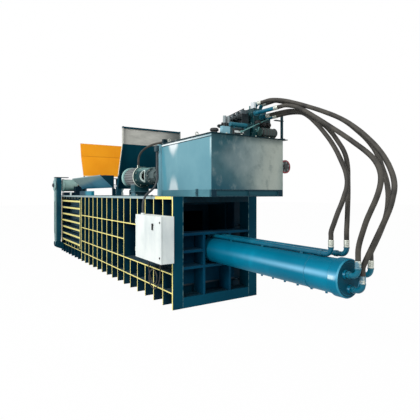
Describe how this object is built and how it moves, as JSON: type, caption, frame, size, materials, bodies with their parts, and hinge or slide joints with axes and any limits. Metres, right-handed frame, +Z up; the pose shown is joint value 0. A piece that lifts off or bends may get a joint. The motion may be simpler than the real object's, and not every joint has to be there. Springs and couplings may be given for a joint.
{
  "type": "recycling baler",
  "caption": "Horizontal hydraulic channel baler with a ribbed press body, feed hopper, long main cylinder with hoses, oil tank with pump unit, control cabinet and clamp arms at the bale exit.",
  "frame": {"origin": "middle of the bounding box without the hoses and cables, on the ground", "axes": "+X along the machine towards the main cylinder, +Y towards the side away from the cabinet, +Z up"},
  "size_m": [10.6143, 2.3, 3.238],
  "materials": {
    "teal_paint": "gloss machine enamel, dark teal",
    "orange_paint": "gloss machine enamel, orange",
    "blue_paint": "gloss machine enamel, blue",
    "pale_paint": "gloss machine enamel, light blue grey",
    "cabinet_paint": "textured powder coat, light grey",
    "bare_steel": "plain mill finish",
    "ground_rod": "ground and hard chromed",
    "hose_rubber": "matt black hose cover",
    "black_plastic": "moulded black"
  },
  "bodies": {
    "frame": {"floor_plate": "bare_steel", "floor_beams": "teal_paint", "left_wall": "teal_paint", "left_ribs_front": "teal_paint", "left_ribs_low": "teal_paint", "left_ribs_high": "teal_paint", "right_side": "teal_paint", "rear_deck": "teal_paint", "front_deck": "teal_paint", "left_end_post": "teal_paint", "right_end_post": "teal_paint", "exit_posts": "teal_paint", "reaction_grid": "teal_paint", "cylinder_mount_plate": "teal_paint", "cylinder_barrel": "blue_paint", "cylinder_gland": "bare_steel", "cylinder_cap": "blue_paint", "return_pipes": "blue_paint", "port_elbows": "blue_paint", "cap_hose_top": "hose_rubber", "cap_hose_low": "hose_rubber", "cap_hose_far": "hose_rubber", "pipe_hose_left": "hose_rubber", "pipe_hose_right": "hose_rubber", "hose_ferrules": "bare_steel", "hopper_rear_wall": "teal_paint", "hopper_front_wall": "orange_paint", "left_flare": "pale_paint", "right_flare": "pale_paint", "tank_base": "pale_paint", "oil_tank": "pale_paint", "tank_lid": "teal_paint", "lid_bolts": "bare_steel", "breather_cap": "black_plastic", "valve_manifold": "teal_paint", "solenoid_valves": "black_plastic", "outlet_pipes": "blue_paint", "oil_filters": "black_plastic", "motor": "pale_paint", "motor_base": "pale_paint", "bellhousing": "pale_paint", "main_pump": "bare_steel", "pump_hose": "hose_rubber", "cabinet_body": "cabinet_paint", "switchgear_plate": "bare_steel", "cabinet_conduit": "hose_rubber", "cable_loop": "hose_rubber", "shear_blade": "bare_steel", "arm_brackets": "teal_paint"},
    "ram": {"ram_box": "blue_paint", "piston_rod": "ground_rod"},
    "cabinet_door": {"cabinet_door": "cabinet_paint"},
    "lock_lever": {"door_handle": "black_plastic"},
    "drive_line": {"drive_coupling": "bare_steel"},
    "left_panel": {"left_panel": "blue_paint"},
    "right_panel": {"right_panel": "blue_paint"},
    "left_arm": {"left_arm": "pale_paint"},
    "right_arm": {"right_arm": "pale_paint"},
    "cross_barrel": {"cross_barrel": "pale_paint"},
    "cross_rod": {"cross_rod": "ground_rod"}
  },
  "joints": [
    {"name": "ram_slide", "type": "slide", "parent": "frame", "child": "ram", "axis": [-1, 0, 0], "range_m": [0, 2.45]},
    {"name": "left_arm_swing", "type": "hinge", "parent": "frame", "child": "left_arm", "pos_m": [-4.9645, -0.9925, 0.26], "axis": [-1, 0, 0], "range_deg": [0, 2.2]},
    {"name": "right_arm_swing", "type": "hinge", "parent": "frame", "child": "right_arm", "pos_m": [-4.9645, 0.9925, 0.26], "axis": [1, 0, 0], "range_deg": [0, 2.2]},
    {"name": "left_panel_swing", "type": "hinge", "parent": "frame", "child": "left_panel", "pos_m": [-2.8945, -0.62, 0.97], "axis": [0, 0, -1], "range_deg": [0, 0.83]},
    {"name": "right_panel_swing", "type": "hinge", "parent": "frame", "child": "right_panel", "pos_m": [-2.8945, 0.62, 0.97], "axis": [0, 0, 1], "range_deg": [0, 0.83]},
    {"name": "cross_barrel_pivot", "type": "hinge", "parent": "left_arm", "child": "cross_barrel", "pos_m": [-4.9645, -0.9925, 2.06], "axis": [1, 0, 0], "range_deg": [0, 2.2]},
    {"name": "cross_rod_slide", "type": "slide", "parent": "cross_barrel", "child": "cross_rod", "axis": [0, -1, 0], "range_m": [0, 0.139]},
    {"name": "door_swing", "type": "hinge", "parent": "frame", "child": "cabinet_door", "pos_m": [1.5235, -1.0725, 1.095], "axis": [0, 0, -1], "range_deg": [0, 110]},
    {"name": "lever_turn", "type": "hinge", "parent": "cabinet_door", "child": "lock_lever", "pos_m": [2.2255, -1.085, 1.31], "axis": [0, 1, 0], "range_deg": [0, 90]},
    {"name": "shaft_spin", "type": "hinge", "parent": "frame", "child": "drive_line", "pos_m": [0.9955, -0.6, 2.12], "axis": [1, 0, 0], "continuous": true}
  ],
  "couplings": [
    {"joint": "right_arm_swing", "follows": "left_arm_swing", "ratio": 1},
    {"joint": "left_panel_swing", "follows": "left_arm_swing", "ratio": 0.3733},
    {"joint": "right_panel_swing", "follows": "left_arm_swing", "ratio": 0.3733},
    {"joint": "cross_barrel_pivot", "follows": "left_arm_swing", "ratio": 1},
    {"joint": "cross_rod_slide", "follows": "left_arm_swing", "m_per_rad": 3.6}
  ]
}
